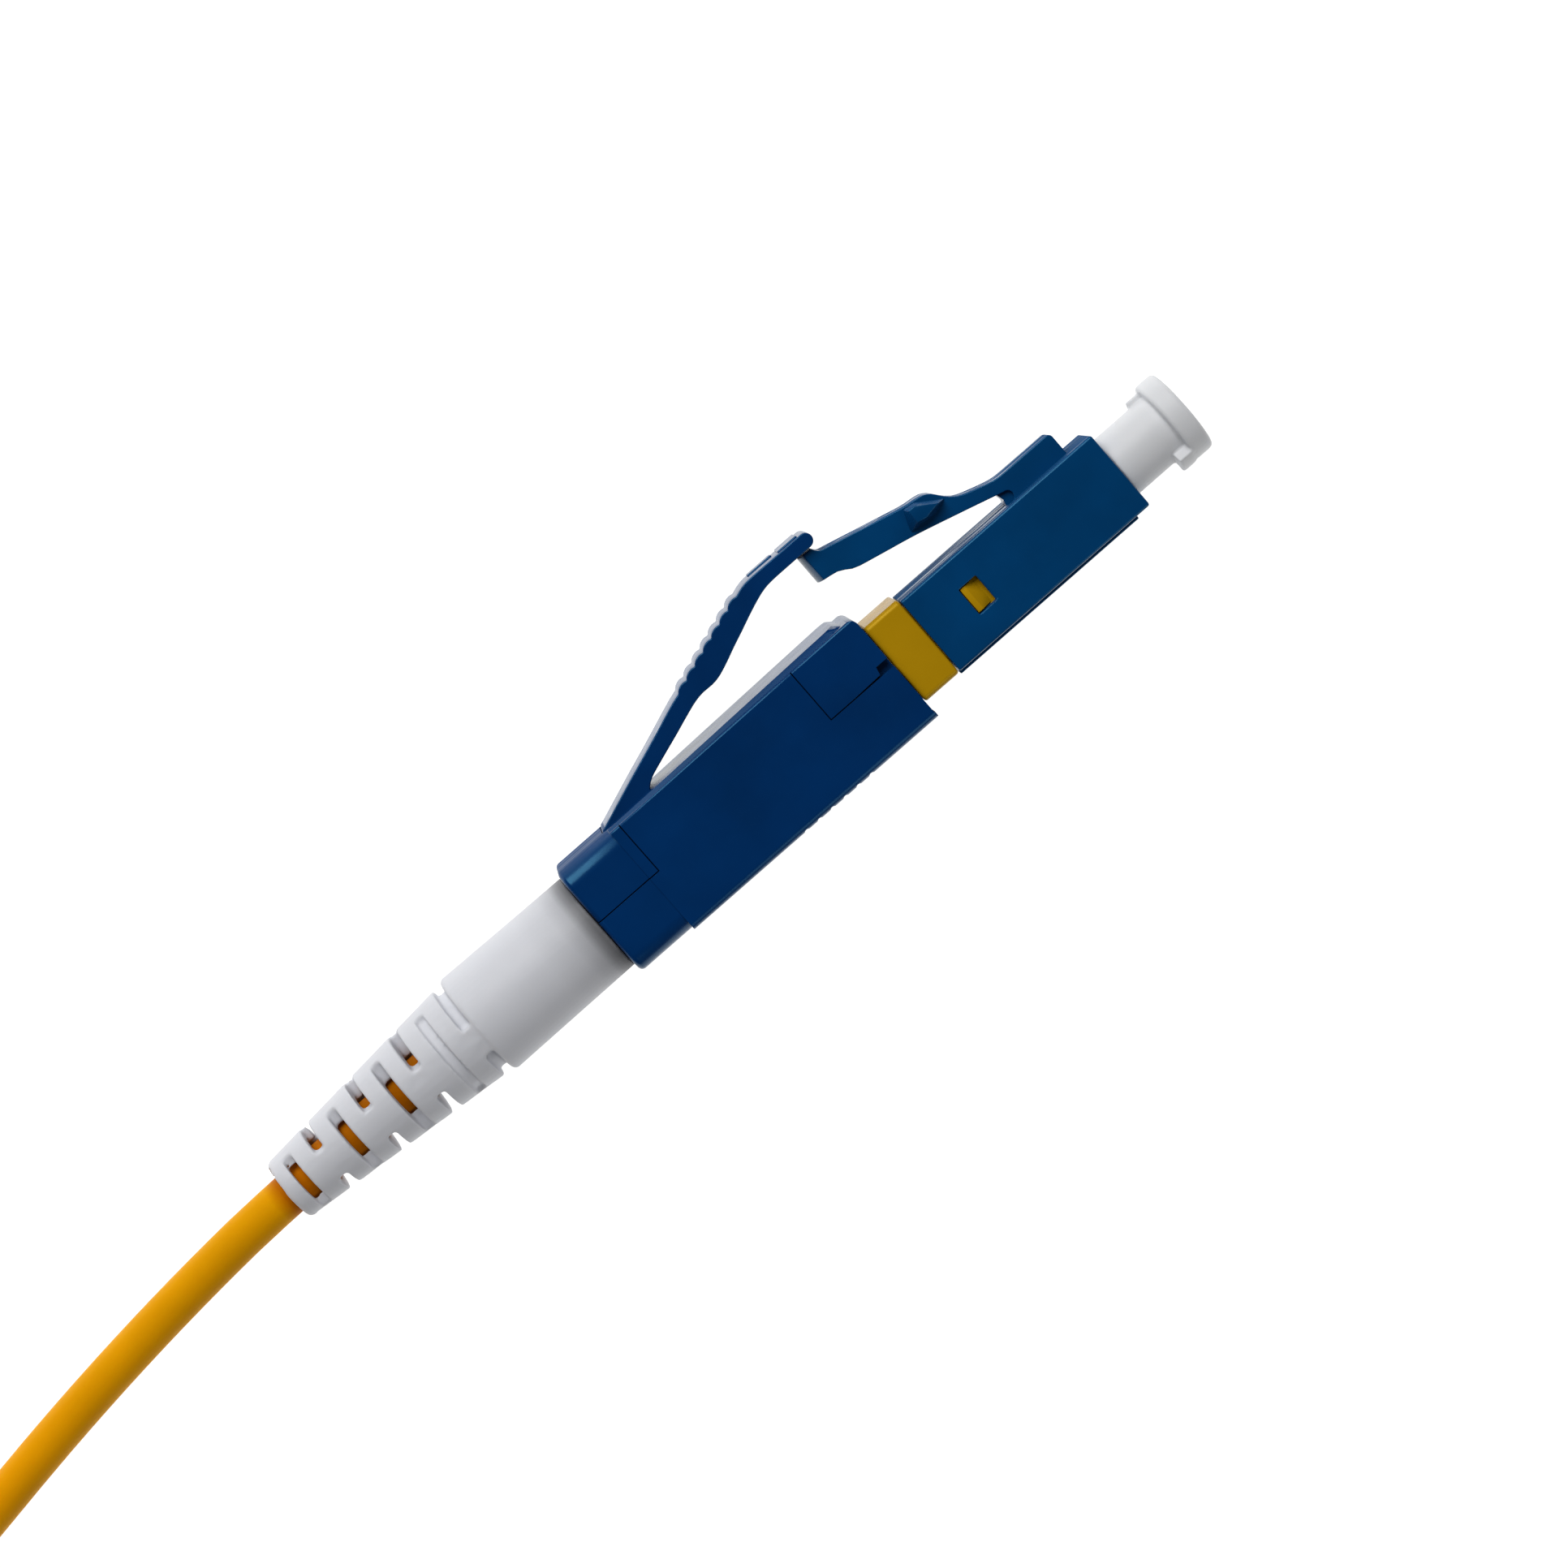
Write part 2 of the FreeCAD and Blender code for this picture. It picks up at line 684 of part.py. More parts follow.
def lever_root():
    """The wedge that carries the lever on the clip, up to the flexing line."""
    half = lever_thickness / 2
    slope = lever_slope()
    down = (rear_top - 0.3 - lever_flex.y) / math.sin(math.radians(slope))
    root = slab(
        outline(
            (lever_root_x, rear_top - 0.3),
            (lever_root_x, rear_top - 0.02),
            along(lever_flex, slope, 0, half),
            along(lever_flex, slope, 0, -half),
            along(lever_flex, slope, down * 0.75, -half),
            (along(lever_flex, slope, down, -half)[0], rear_top - 0.3),
        ),
        lever_width,
    )
    root = root.cut(knuckle(lever_flex, half + slip_gap, lever_width + 1))
    return root.cut(cove_trim(lever_flex, slope, half, lever_width))


def trigger_lever():
    half = lever_thickness / 2
    slope = lever_slope()
    reach = lever_bend().Length
    tangent = lever_bend_tangent
    corner_top = along(lever_flex, slope, reach, half)
    bend_low = -half - lever_bend_depth
    top_y = lever_pad_y + lever_pad_thickness
    tip_r = lever_pad_thickness / 2
    knee = lever_knee_start
    knee_end = knee + lever_knee_length
    lever = slab(
        outline(
            along(lever_flex, slope, 0, -half),
            along(lever_flex, slope, knee, -half),
            (
                along(lever_flex, slope, knee + lever_knee_length * 0.45, -half - lever_knee_depth * 0.55),
                along(lever_flex, slope, knee_end, -half - lever_knee_depth),
            ),
            along(lever_flex, slope, reach - tangent, bend_low),
            (
                along(lever_flex, slope, reach + tangent * 0.35, bend_low + 0.06),
                (corner_top[0] + 2 * tangent, lever_pad_y),
            ),
            (lever_tip_x - tip_r, lever_pad_y),
            ((lever_tip_x, lever_pad_y + tip_r), (lever_tip_x - tip_r, top_y)),
            (corner_top[0] + tangent, top_y),
            ((corner_top[0] + 0.05, top_y - 0.05), along(lever_flex, slope, reach - tangent, half)),
            along(lever_flex, slope, 0, half),
        ),
        lever_width,
    )
    lever = lever.fuse(knuckle(lever_flex, half, lever_width))
    for bump in range(lever_bump_count):
        lever = lever.fuse(lever_bump(lever_bump_start + bump * lever_bump_pitch, slope, half))
    return lever.fuse(lever_beads(top_y)).removeSplitter()


def lever_bump(distance, slope, half):
    """One rounded grip rib across the lever's upper face."""
    reach = lever_bump_pitch * 0.49
    return slab(
        outline(
            along(lever_flex, slope, distance + reach, half - 0.02),
            (
                along(lever_flex, slope, distance, half + lever_bump_height),
                along(lever_flex, slope, distance - reach, half - 0.02),
            ),
        ),
        lever_width,
    )


def lever_beads(top_y):
    """Two low raised pads on the flat stretch: a narrow bead, and a wider one at the tip."""
    low = top_y - 0.1
    high = top_y + bead_height
    half = lever_width / 2 - 0.3
    bead_x = lever_tip_x - lever_pad_length - 0.75
    bead = box(bead_x, bead_x + 1.6, low, high, -half, 0)
    return bead.fuse(box(lever_tip_x - 1.85, lever_tip_x - 0.6, low, high, -half, half))


# --- Crimp, boot and dust cap -------------------------------------------------------------------
def crimp_sleeve():
    inner_r = barrel_r + yarn_thickness + 2 * slip_gap
    neck_inner_r = cable_r + slip_gap
    front_x = neck_back_x - 0.3
    shoulder_x = barrel_back_x - 0.3
    return turned(
        [
            (front_x, inner_r),
            (front_x, inner_r + crimp_wall),
            (shoulder_x, inner_r + crimp_wall),
            (cable_x, neck_inner_r + crimp_wall),
            (cable_x - crimp_neck_length, neck_inner_r + crimp_wall),
            (cable_x - crimp_neck_length, neck_inner_r),
            (cable_x, neck_inner_r),
            (shoulder_x, inner_r),
        ]
    )


def aramid_yarn():
    """The yarn, folded forward over the barrel and running back into the jacket."""
    inner_r = barrel_r + slip_gap
    outer_r = inner_r + yarn_thickness
    jacket_yarn_r = cable_bore_r - slip_gap
    core_r = buffer_r + slip_gap
    grip_x = barrel_back_x + yarn_grip_length
    end_x = cable_x - cable_bore_length + 1.5
    return turned(
        [
            (grip_x, inner_r),
            (grip_x, outer_r),
            (barrel_back_x - 0.1, outer_r),
            (cable_x + seat_gap, jacket_yarn_r),
            (end_x, jacket_yarn_r),
            (end_x, core_r),
            (cable_x + seat_gap, core_r),
            (barrel_back_x - 0.1, inner_r),
        ]
    )


def boot():
    """The strain relief: a barrel, a tapered tail with crosswise slots, and a neck in the housing."""
    taper_x = boot_x - boot_barrel_length
    outer = turned(
        [
            (boot_back_x, 0),
            (boot_back_x, boot_tip_r - boot_edge),
            (boot_back_x + boot_edge, boot_tip_r),
            (taper_x, boot_taper_r),
            (taper_x + boot_edge / 2, boot_r),
            (boot_x, boot_r),
            (boot_x, boot_neck_r),
            (boot_neck_x, boot_neck_r),
            (boot_neck_x, 0),
        ]
    )
    rim = [e for e in outer.Edges if abs(e.CenterOfMass.x - boot_back_x - boot_edge) < 1e-6 and e.Length > 1]
    outer = outer.makeFillet(boot_edge * 0.9, rim)
    for slot in range(boot_slots):
        outer = outer.cut(boot_slot_cut(slot))
    outer = outer.cut(rod(boot_back_x - 1, boot_neck_x + 1, cable_r + boot_bore_gap))
    outer.rotate(Vector(0, 0, 0), Vector(1, 0, 0), boot_turn)
    return outer


def boot_slot_cut(number):
    """One pair of slots, cut from two opposite sides; odd pairs lie across the even ones."""
    x = boot_back_x + boot_slot_end + number * boot_slot_pitch
    half = boot_slot_width / 2
    big = 2 * boot_r
    pair = box(x - half, x + half, -big, big, boot_slot_floor, big)
    pair = pair.fuse(box(x - half, x + half, -big, big, -boot_slot_floor, -big))
    if number % 2:
        pair.rotate(Vector(0, 0, 0), Vector(1, 0, 0), 90)
    return pair.cut(rod(boot_x - boot_core_length, boot_x, boot_core_r))


def dust_cap():
    body = turned(
        [
            (-cap_plug_length, ferrule_r + slip_gap),
            (-cap_plug_length, sleeve_bore_r - slip_gap),
            (seat_gap, sleeve_bore_r - slip_gap),
            (seat_gap, cap_r),
            (cap_barrel_length, cap_r),
            (cap_barrel_length, cap_flange_r),
            (cap_barrel_length + cap_flange_length, cap_flange_r),
            (cap_barrel_length + cap_flange_length, 0),
            (cap_bore_depth, 0),
            (cap_bore_depth, ferrule_r + slip_gap),
        ]
    )
    rims = [e for e in body.Edges if e.Length > 2 * math.pi * (cap_flange_r - 0.01)]
    body = body.makeFillet(cap_flange_edge, rims)
    for side, ear_r in ((0, cap_ear_low_r), (180, cap_ear_r)):
        start = Vector(cap_barrel_length - cap_ear_length, 0, 0)
        ear = Part.makeCylinder(ear_r, cap_ear_length, start, Vector(1, 0, 0), cap_ear_angle)
        ear.rotate(Vector(0, 0, 0), Vector(1, 0, 0), side + 90 - cap_ear_angle / 2)
        ear = ear.cut(rod(0, cap_barrel_length, cap_r - 0.2))
        body = body.fuse(ear)
    body.rotate(Vector(0, 0, 0), Vector(1, 0, 0), cap_turn)
    return body


# --- Tail ---------------------------------------------------------------------------------------
def route():
    """Points of the tail from the crimp to the hank. Inside the boot it is straight."""
    low_z = hank_z + cable_r
    entry_x, entry_y = hank_entry
    return [
        Vector(cable_x, 0, 0),
        Vector(-54.4, 0, 0),
        Vector(-62.7, -0.485, -0.5),
        Vector(-71.3, -1.494, -1.25),
        Vector(-79.8, -2.92, low_z - 0.1),
        Vector(entry_x, entry_y, low_z),
    ]


def rounded_path(points):
    """Straight runs joined by tangent arcs, each as large as 0.45 of the shorter run allows."""
    edges = []
    here = points[0]
    for before, corner, after in zip(points, points[1:], points[2:]):
        back = (before - corner).normalize()
        on = (after - corner).normalize()
        reach = 0.45 * min((before - corner).Length, (after - corner).Length)
        half_turn = (math.pi - back.getAngle(on)) / 2
        radius = reach / math.tan(half_turn)
        start = corner + back * reach
        end = corner + on * reach
        centre = corner + (back + on).normalize() * (radius / math.cos(half_turn))
        middle = centre + (corner - centre).normalize() * radius
        edges.append(Part.LineSegment(here, start).toShape())
        edges.append(Part.Arc(start, middle, end).toShape())
        print(f"cable bend radius {radius:.1f} mm")
        here = end
    edges.append(Part.LineSegment(here, points[-1]).toShape())
    return Part.Wire(edges)


def cable():
    path = rounded_path(route())
    section = Part.Wire(Part.makeCircle(cable_r, Vector(cable_x, 0, 0), Vector(1, 0, 0)))
    tube = path.makePipeShell([section], True, False)
    expected = math.pi * cable_r**2 * path.Length
    print(f"cable run {path.Length:.2f} mm, volume {tube.Volume / expected:.5f} of section times length")
    return tube.cut(rod(cable_x - cable_bore_length, cable_x + 1, cable_bore_r))


def hank_straight():
    """Length of the hank's straight stretches that leaves the tail its whole length."""
    outer_r = hank_bend_r + strand_pitch
    lead = rounded_length(route())
    bends = 2 * math.pi * (hank_layers - 1) * (outer_r + hank_bend_r)
    straights = 4 * (hank_layers - 1)
    return (tail_length - lead - bends) / straights


def rounded_length(points):
    return sum((b - a).Length for a, b in zip(points, points[1:]))


def stadium(centre, straight, r, z0, height):
    """An upright prism with a racetrack outline, its long sides along X."""
    left = centre.x - straight / 2
    right = centre.x + straight / 2
    wire = outline(
        (left, centre.y - r),
        (right, centre.y - r),
        ((right + r, centre.y), (right, centre.y + r)),
        (left, centre.y + r),
        ((left - r, centre.y), (left, centre.y - r)),
    )
    return prism(wire, z0, z0 + height)


def hank_centre():
    entry_x, entry_y = hank_entry
    return Vector(entry_x - hank_straight() / 2, entry_y + hank_bend_r + strand_pitch, 0)


def cord_hank():
    straight = hank_straight()
    height = (hank_layers - 1) * strand_pitch + 2 * cable_r
    outer = stadium(hank_centre(), straight, hank_bend_r + strand_pitch + cable_r, hank_z, height)
    rims = [e for e in outer.Edges if abs(e.CenterOfMass.z - hank_z - height / 2) > height / 2 - 1e-6]
    outer = outer.makeFillet(hank_edge, rims)
    hole = stadium(hank_centre(), straight, hank_bend_r - cable_r, hank_z - 1, height + 2)
    return outer.cut(hole)


def hank_strap(side):
    """A strap round one long side of the hank; its end lies over its start, on top."""
    height = (hank_layers - 1) * strand_pitch + 2 * cable_r
    centre = hank_centre()
    far_y = side * (hank_bend_r + strand_pitch + cable_r + slip_gap)
    near_y = side * (hank_bend_r - cable_r - slip_gap)
    x0 = centre.x - strap_width / 2
    x1 = centre.x + strap_width / 2
    low = hank_z - slip_gap
    high = hank_z + height + slip_gap
    wall = strap_thickness
    band = box(x0, x1, near_y - side * wall, far_y + side * wall, low - wall, high + wall)
    band = band.cut(box(x0 - 1, x1 + 1, near_y, far_y, low, high))
    mid_y = (near_y + far_y) / 2
    end = box(x0, x1, mid_y - strap_overlap / 2, mid_y + strap_overlap / 2, high, high + 2 * wall)
    band = band.fuse(end)
    band.translate(Vector(0, centre.y, 0))
    return band


# --- Pieces -------------------------------------------------------------------------------------
save("front_housing", front_housing())
save("latch_arm", latch_arm())
save("inner_body", inner_body())
save("ferrule", ferrule())
save("ferrule_flange", ferrule_flange())
save("spring", spring())
save("fibre", fibre())
save("buffer_tube", buffer_tube())
save("rear_housing", rear_housing())
save("trigger_clip", trigger_clip())
save("trigger_lever", trigger_lever())
save("crimp_sleeve", crimp_sleeve())
save("aramid_yarn", aramid_yarn())
save("boot", boot())
save("dust_cap", dust_cap())
save("cable", cable())
save("cord_hank", cord_hank())
save("hank_strap_near", hank_strap(-1))
save("hank_strap_far", hank_strap(1))
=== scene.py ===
import math
from contextlib import contextmanager

import bmesh
import bpy
from mathutils import Matrix, Vector

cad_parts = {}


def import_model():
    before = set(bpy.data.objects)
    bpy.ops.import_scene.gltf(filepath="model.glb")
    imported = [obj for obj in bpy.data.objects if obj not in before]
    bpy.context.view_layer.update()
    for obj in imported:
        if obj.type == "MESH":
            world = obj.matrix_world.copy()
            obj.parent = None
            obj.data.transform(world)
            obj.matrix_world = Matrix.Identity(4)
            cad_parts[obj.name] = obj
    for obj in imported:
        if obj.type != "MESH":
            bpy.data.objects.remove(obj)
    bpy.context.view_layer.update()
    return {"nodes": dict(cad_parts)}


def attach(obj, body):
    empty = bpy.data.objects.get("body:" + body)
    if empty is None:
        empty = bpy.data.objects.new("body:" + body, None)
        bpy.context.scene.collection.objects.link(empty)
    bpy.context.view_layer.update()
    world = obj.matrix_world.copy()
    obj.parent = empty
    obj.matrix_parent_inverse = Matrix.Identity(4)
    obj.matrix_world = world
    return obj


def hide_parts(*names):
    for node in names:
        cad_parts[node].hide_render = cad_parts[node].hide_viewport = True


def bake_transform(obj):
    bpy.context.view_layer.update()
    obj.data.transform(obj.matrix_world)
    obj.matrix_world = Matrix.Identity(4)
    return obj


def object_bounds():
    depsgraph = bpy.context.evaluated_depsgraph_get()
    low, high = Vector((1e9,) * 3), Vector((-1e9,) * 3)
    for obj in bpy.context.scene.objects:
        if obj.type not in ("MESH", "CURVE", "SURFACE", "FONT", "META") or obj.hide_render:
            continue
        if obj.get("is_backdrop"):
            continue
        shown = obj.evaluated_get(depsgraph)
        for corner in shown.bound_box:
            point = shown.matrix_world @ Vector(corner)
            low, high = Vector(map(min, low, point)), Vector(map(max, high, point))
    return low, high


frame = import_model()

# Sizes and places are in millimetres, and those of the lights and the floor in metres.
MM = 0.001
nodes = frame["nodes"]


def mm(x, y, z):
    return Vector((x, y, z)) * MM


# --- Camera -------------------------------------------------------------------------------------
# It looks down on the connector, tilted a little towards the latch side, and is rolled so that the
# connector points to the upper right of the picture.
AIM = Vector((-22.97, -1.0, 0.0)) * MM
DISTANCE = 250 * MM
TILT = math.radians(6.3)
ROLL = math.radians(41.2)
LENS = 113.9


def place_camera():
    data = bpy.data.cameras.new("camera")
    camera = bpy.data.objects.new("camera", data)
    bpy.context.scene.collection.objects.link(camera)
    back = Vector((0, math.sin(TILT), math.cos(TILT)))
    level_right = Vector((1, 0, 0))
    level_up = back.cross(level_right)
    right = level_right * math.cos(ROLL) - level_up * math.sin(ROLL)
    up = level_right * math.sin(ROLL) + level_up * math.cos(ROLL)
    turn = Matrix((right, up, back)).transposed()
    camera.matrix_world = Matrix.Translation(AIM + back * DISTANCE) @ turn.to_4x4()
    data.lens = LENS
    data.sensor_width = 36
    data.clip_start = 0.01
    data.clip_end = 10
    bpy.context.scene.camera = camera


place_camera()


# --- Materials ----------------------------------------------------------------------------------
def material(name):
    made = bpy.data.materials.new(name)
    made.use_nodes = True
    return made, made.node_tree, made.node_tree.nodes["Principled BSDF"]


def place_coordinates(tree, stretch=(1, 1, 1)):
    """The place on the object, scaled along each axis; a small factor stretches a pattern."""
    coordinates = tree.nodes.new("ShaderNodeTexCoord")
    mapping = tree.nodes.new("ShaderNodeMapping")
    mapping.inputs["Scale"].default_value = stretch
    tree.links.new(coordinates.outputs["Object"], mapping.inputs["Vector"])
    return mapping.outputs["Vector"]


def noise(tree, vector, scale, detail=2.0):
    made = tree.nodes.new("ShaderNodeTexNoise")
    made.inputs["Scale"].default_value = scale
    made.inputs["Detail"].default_value = detail
    tree.links.new(vector, made.inputs["Vector"])
    return made.outputs["Fac"]


def ramp(tree, value, stops):
    made = tree.nodes.new("ShaderNodeValToRGB")
    while len(made.color_ramp.elements) < len(stops):
        made.color_ramp.elements.new(0.5)
    for element, (place, colour) in zip(made.color_ramp.elements, stops):
        element.position = place
        element.color = (*colour, 1)
    tree.links.new(value, made.inputs["Fac"])
    return made.outputs["Color"]


def map_range(tree, value, from_low, from_high, to_low=0.0, to_high=1.0):
    made = tree.nodes.new("ShaderNodeMapRange")
    made.inputs["From Min"].default_value = from_low
    made.inputs["From Max"].default_value = from_high
    made.inputs["To Min"].default_value = to_low
    made.inputs["To Max"].default_value = to_high
    tree.links.new(value, made.inputs["Value"])
    return made.outputs["Result"]


def axis_value(tree, vector, axis):
    split = tree.nodes.new("ShaderNodeSeparateXYZ")
    tree.links.new(vector, split.inputs["Vector"])
    return split.outputs[axis]


def product(tree, a, b):
    made = tree.nodes.new("ShaderNodeMath")
    made.operation = "MULTIPLY"
    tree.links.new(a, made.inputs[0])
    tree.links.new(b, made.inputs[1])
    return made.outputs["Value"]


def bump(tree, height, strength, distance, normal=None):
    made = tree.nodes.new("ShaderNodeBump")
    made.inputs["Strength"].default_value = strength
    made.inputs["Distance"].default_value = distance
    tree.links.new(height, made.inputs["Height"])
    if normal is not None:
        tree.links.new(normal, made.inputs["Normal"])
    return made.outputs["Normal"]


# Noise scales, in cells per metre, and the heights of the bumps that they make
CLOUD_CELLS = 260
WAVE_CELLS = 420
SHEEN_CELLS = 900
STREAK_CELLS = 2400
BRUSH_CELLS = 2500
GRAIN_CELLS = 9000
GRAIN_HEIGHT = 0.004 * MM
WAVE_HEIGHT = 0.03 * MM
SHEEN_SPREAD = (0.9, 1.12)  # shares of a plastic's roughness, at its glossiest and its dullest
MARK_TONE = 0.85  # a metal's colour in its marks
MARK_STRENGTH = 0.3
STREAK_STRETCH = (0.07, 1, 1)  # long along X
STREAK_SPAN = (0.42, 0.6)  # the noise values that the streaks spread over
STREAK_FADE = 0.1
UPWARD = (0.5, 0.95)  # the share of +Y in a normal where the streaks begin and are full
SCATTER_DEPTH = 0.4 * MM
SCATTER_RADIUS = (1.0, 0.9, 0.8)


def plastic(
    name,
    colour,
    roughness,
    spread=0.12,
    grain=0.5,
    wave=0.35,
    shine=0.5,
    tint=(1, 1, 1),
    subsurface=0.0,
    ior=1.5,
):
    """Moulded plastic: faint clouds in its colour and sheen, a fine grain and a slight wave."""
    made, tree, shader = material(name)
    vector = place_coordinates(tree)
    cloud = noise(tree, vector, CLOUD_CELLS, 3)
    dark = tuple(c * (1 - spread) for c in colour)
    light = tuple(min(1, c * (1 + spread)) for c in colour)
    tree.links.new(ramp(tree, cloud, [(0.3, dark), (0.7, light)]), shader.inputs["Base Color"])
    low, high = (roughness * share for share in SHEEN_SPREAD)
    sheen = noise(tree, vector, SHEEN_CELLS, 4)
    rough = ramp(tree, sheen, [(0.3, (low,) * 3), (0.75, (high,) * 3)])
    tree.links.new(rough, shader.inputs["Roughness"])
    fine = bump(tree, noise(tree, vector, GRAIN_CELLS), grain, GRAIN_HEIGHT)
    slow = bump(tree, noise(tree, vector, WAVE_CELLS), wave, WAVE_HEIGHT, fine)
    tree.links.new(slow, shader.inputs["Normal"])
    shader.inputs["IOR"].default_value = ior
    shader.inputs["Specular IOR Level"].default_value = shine
    shader.inputs["Specular Tint"].default_value = (*tint, 1)
    if subsurface:
        shader.inputs["Subsurface Weight"].default_value = subsurface
        shader.inputs["Subsurface Radius"].default_value = SCATTER_RADIUS
        shader.inputs["Subsurface Scale"].default_value = SCATTER_DEPTH
    return made


def metal(name, colour, roughness):
    """Plated metal or bright wire, with fine marks in its colour and surface."""
    made, tree, shader = material(name)
    marks = noise(tree, place_coordinates(tree), BRUSH_CELLS, 3)
    dark = tuple(c * MARK_TONE for c in colour)
    tree.links.new(ramp(tree, marks, [(0.3, dark), (0.7, colour)]), shader.inputs["Base Color"])
    tree.links.new(bump(tree, marks, MARK_STRENGTH, GRAIN_HEIGHT), shader.inputs["Normal"])
    shader.inputs["Metallic"].default_value = 1.0
    shader.inputs["Roughness"].default_value = roughness
    return made


def shade_along(finish, stops, warmth=1.0):
    """Painted shade: darken a finish's colour along X, from stop to stop of (x, tone); low warmth
    keeps more of the red.
    """
    tree = finish.node_tree
    shader = tree.nodes["Principled BSDF"]
    first, last = stops[0][0], stops[-1][0]
    x_place = axis_value(tree, place_coordinates(tree), "X")
    tones = []
    for x, tone in stops:
        cool = tone if tone == 1 else tone * warmth
        tones.append(((x - first) / (last - first), (tone, cool, cool)))
    mix = tree.nodes.new("ShaderNodeMix")
    mix.data_type = "RGBA"
    mix.blend_type = "MULTIPLY"
    mix.inputs["Factor"].default_value = 1.0
    tree.links.new(shader.inputs["Base Color"].links[0].from_socket, mix.inputs["A"])
    shading = ramp(tree, map_range(tree, x_place, first * MM, last * MM), tones)
    tree.links.new(shading, mix.inputs["B"])
    tree.links.new(mix.outputs["Result"], shader.inputs["Base Color"])


def calm_top(finish, low, high, behind=None):
    """Another roughness, in long streaks, on faces that look towards +Y; given an x, behind it."""
    tree = finish.node_tree
    shader = tree.nodes["Principled BSDF"]
    normal = tree.nodes.new("ShaderNodeTexCoord").outputs["Normal"]
    upward = map_range(tree, axis_value(tree, normal, "Y"), *UPWARD)
    if behind is not None:
        x_place = axis_value(tree, place_coordinates(tree), "X")
        rear = map_range(tree, x_place, behind * MM, (behind - STREAK_FADE) * MM)
        upward = product(tree, upward, rear)
    streaks = noise(tree, place_coordinates(tree, STREAK_STRETCH), STREAK_CELLS, 3)
    mix = tree.nodes.new("ShaderNodeMix")
    tree.links.new(upward, mix.inputs["Factor"])
    tree.links.new(shader.inputs["Roughness"].links[0].from_socket, mix.inputs["A"])
    tree.links.new(map_range(tree, streaks, *STREAK_SPAN, low, high), mix.inputs["B"])
    tree.links.new(mix.outputs["Result"], shader.inputs["Roughness"])


BLUE_SHEEN = (0.22, 0.7, 1.0)
AMBER_SHEEN = (1, 0.7, 0.1)
JACKET_SHEEN = (1, 0.6, 0.1)
REAR_SECTION_X = -31.1  # the rear section of the block starts here

housing_blue = plastic("housing_blue", (0.0002, 0.047, 0.16), 0.24, tint=BLUE_SHEEN)
block_blue = plastic("block_blue", (0.0002, 0.0285, 0.131), 0.24, tint=BLUE_SHEEN)
calm_top(housing_blue, 1.0, 0.25)
calm_top(block_blue, 0.7, 0.5, behind=REAR_SECTION_X)
collar_amber = plastic("collar_amber", (0.47, 0.26, 0.003), 0.3, spread=0.05, tint=AMBER_SHEEN)
moulded_white = dict(spread=0.02, shine=0.3, subsurface=0.15)
boot_white = plastic("boot_white", (0.65, 0.66, 0.7), 0.5, **moulded_white)
cap_white = plastic("cap_white", (0.71, 0.72, 0.74), 0.45, **moulded_white)
jacket_yellow = plastic(
    "jacket_yellow",
    (0.78, 0.345, 0.0005),
    0.55,
    spread=0.04,
    shine=0.1,
    tint=JACKET_SHEEN,
    subsurface=0.3,
)
# Painted shade: the boot darkens where it meets the block, and the cable darkens and warms inside
# the boot.
shade_along(boot_white, [(-37.8, 1.0), (-36.3, 0.91), (-35.5, 0.72), (-35.1, 0.4), (-34.8, 0.25)])
shade_along(jacket_yellow, [(-56.2, 1.0), (-55.5, 0.65)], warmth=0.64)
strap_natural = plastic("strap_natural", (0.72, 0.72, 0.68), 0.5, spread=0.04)
buffer_white = plastic("buffer_white", (0.8, 0.8, 0.78), 0.45, spread=0.03)
polished = dict(spread=0.01, grain=0.1, wave=0.02, ior=2.1)
zirconia = plastic("zirconia", (0.86, 0.86, 0.83), 0.15, **polished)
nickel = metal("nickel", (0.66, 0.64, 0.6), 0.3)
spring_steel = metal("spring_steel", (0.58, 0.58, 0.6), 0.22)
aramid = plastic("aramid", (0.75, 0.6, 0.2), 0.6, spread=0.2)

clad = {
    "front_housing": housing_blue,
    "latch_arm": housing_blue,
    "inner_body": collar_amber,
    "ferrule": zirconia,
    "ferrule_flange": nickel,
    "spring": spring_steel,
    "fibre": zirconia,
    "buffer_tube": buffer_white,
    "rear_housing": block_blue,
    "trigger_clip": block_blue,
    "trigger_lever": block_blue,
    "crimp_sleeve": nickel,
    "aramid_yarn": aramid,
    "boot": boot_white,
    "dust_cap": cap_white,
    "hank_strap_near": strap_natural,
    "hank_strap_far": strap_natural,
}
for name, finish in clad.items():
    nodes[name].data.materials.clear()
    nodes[name].data.materials.append(finish)


# --- Meshes -------------------------------------------------------------------------------------
SHARP = 35  # degrees; edges that turn more are rounded
FLAT = 0.5  # degrees; faces that turn less are joined
SEAM = 0.0005  # corners that lie closer are merged


@contextmanager
def edited(mesh):
    """The mesh as a bmesh, written back at the end."""
    work = bmesh.new()
    work.from_mesh(mesh)
    yield work
    work.to_mesh(mesh)
    work.free()


@contextmanager
def built(mesh):
    """As edited, and all faces look outward at the end."""
    with edited(mesh) as work:
        yield work
        bmesh.ops.recalc_face_normals(work, faces=work.faces)


def ring_of(work, points):
    """New corners at points in millimetres."""
    return [work.verts.new(mm(*point)) for point in points]


def join_rings(work, low, high):
    """A band of faces between two rings of corners, joined one to one."""
    for i in range(len(low)):
        j = (i + 1) % len(low)
        work.faces.new((low[i], low[j], high[j], high[i]))


def add_prism(work, low_points, high_points):
    """A closed prism between two rings of points."""
    low = ring_of(work, low_points)
    high = ring_of(work, high_points)
    join_rings(work, low, high)
    work.faces.new(high)
    work.faces.new(low[::-1])
    return low, high


def add_bar(work, section, low_z, high_z):
    """A bar along Z with a section of (x, y) points."""
    add_prism(work, *([(x, y, z) for x, y in section] for z in (low_z, high_z)))


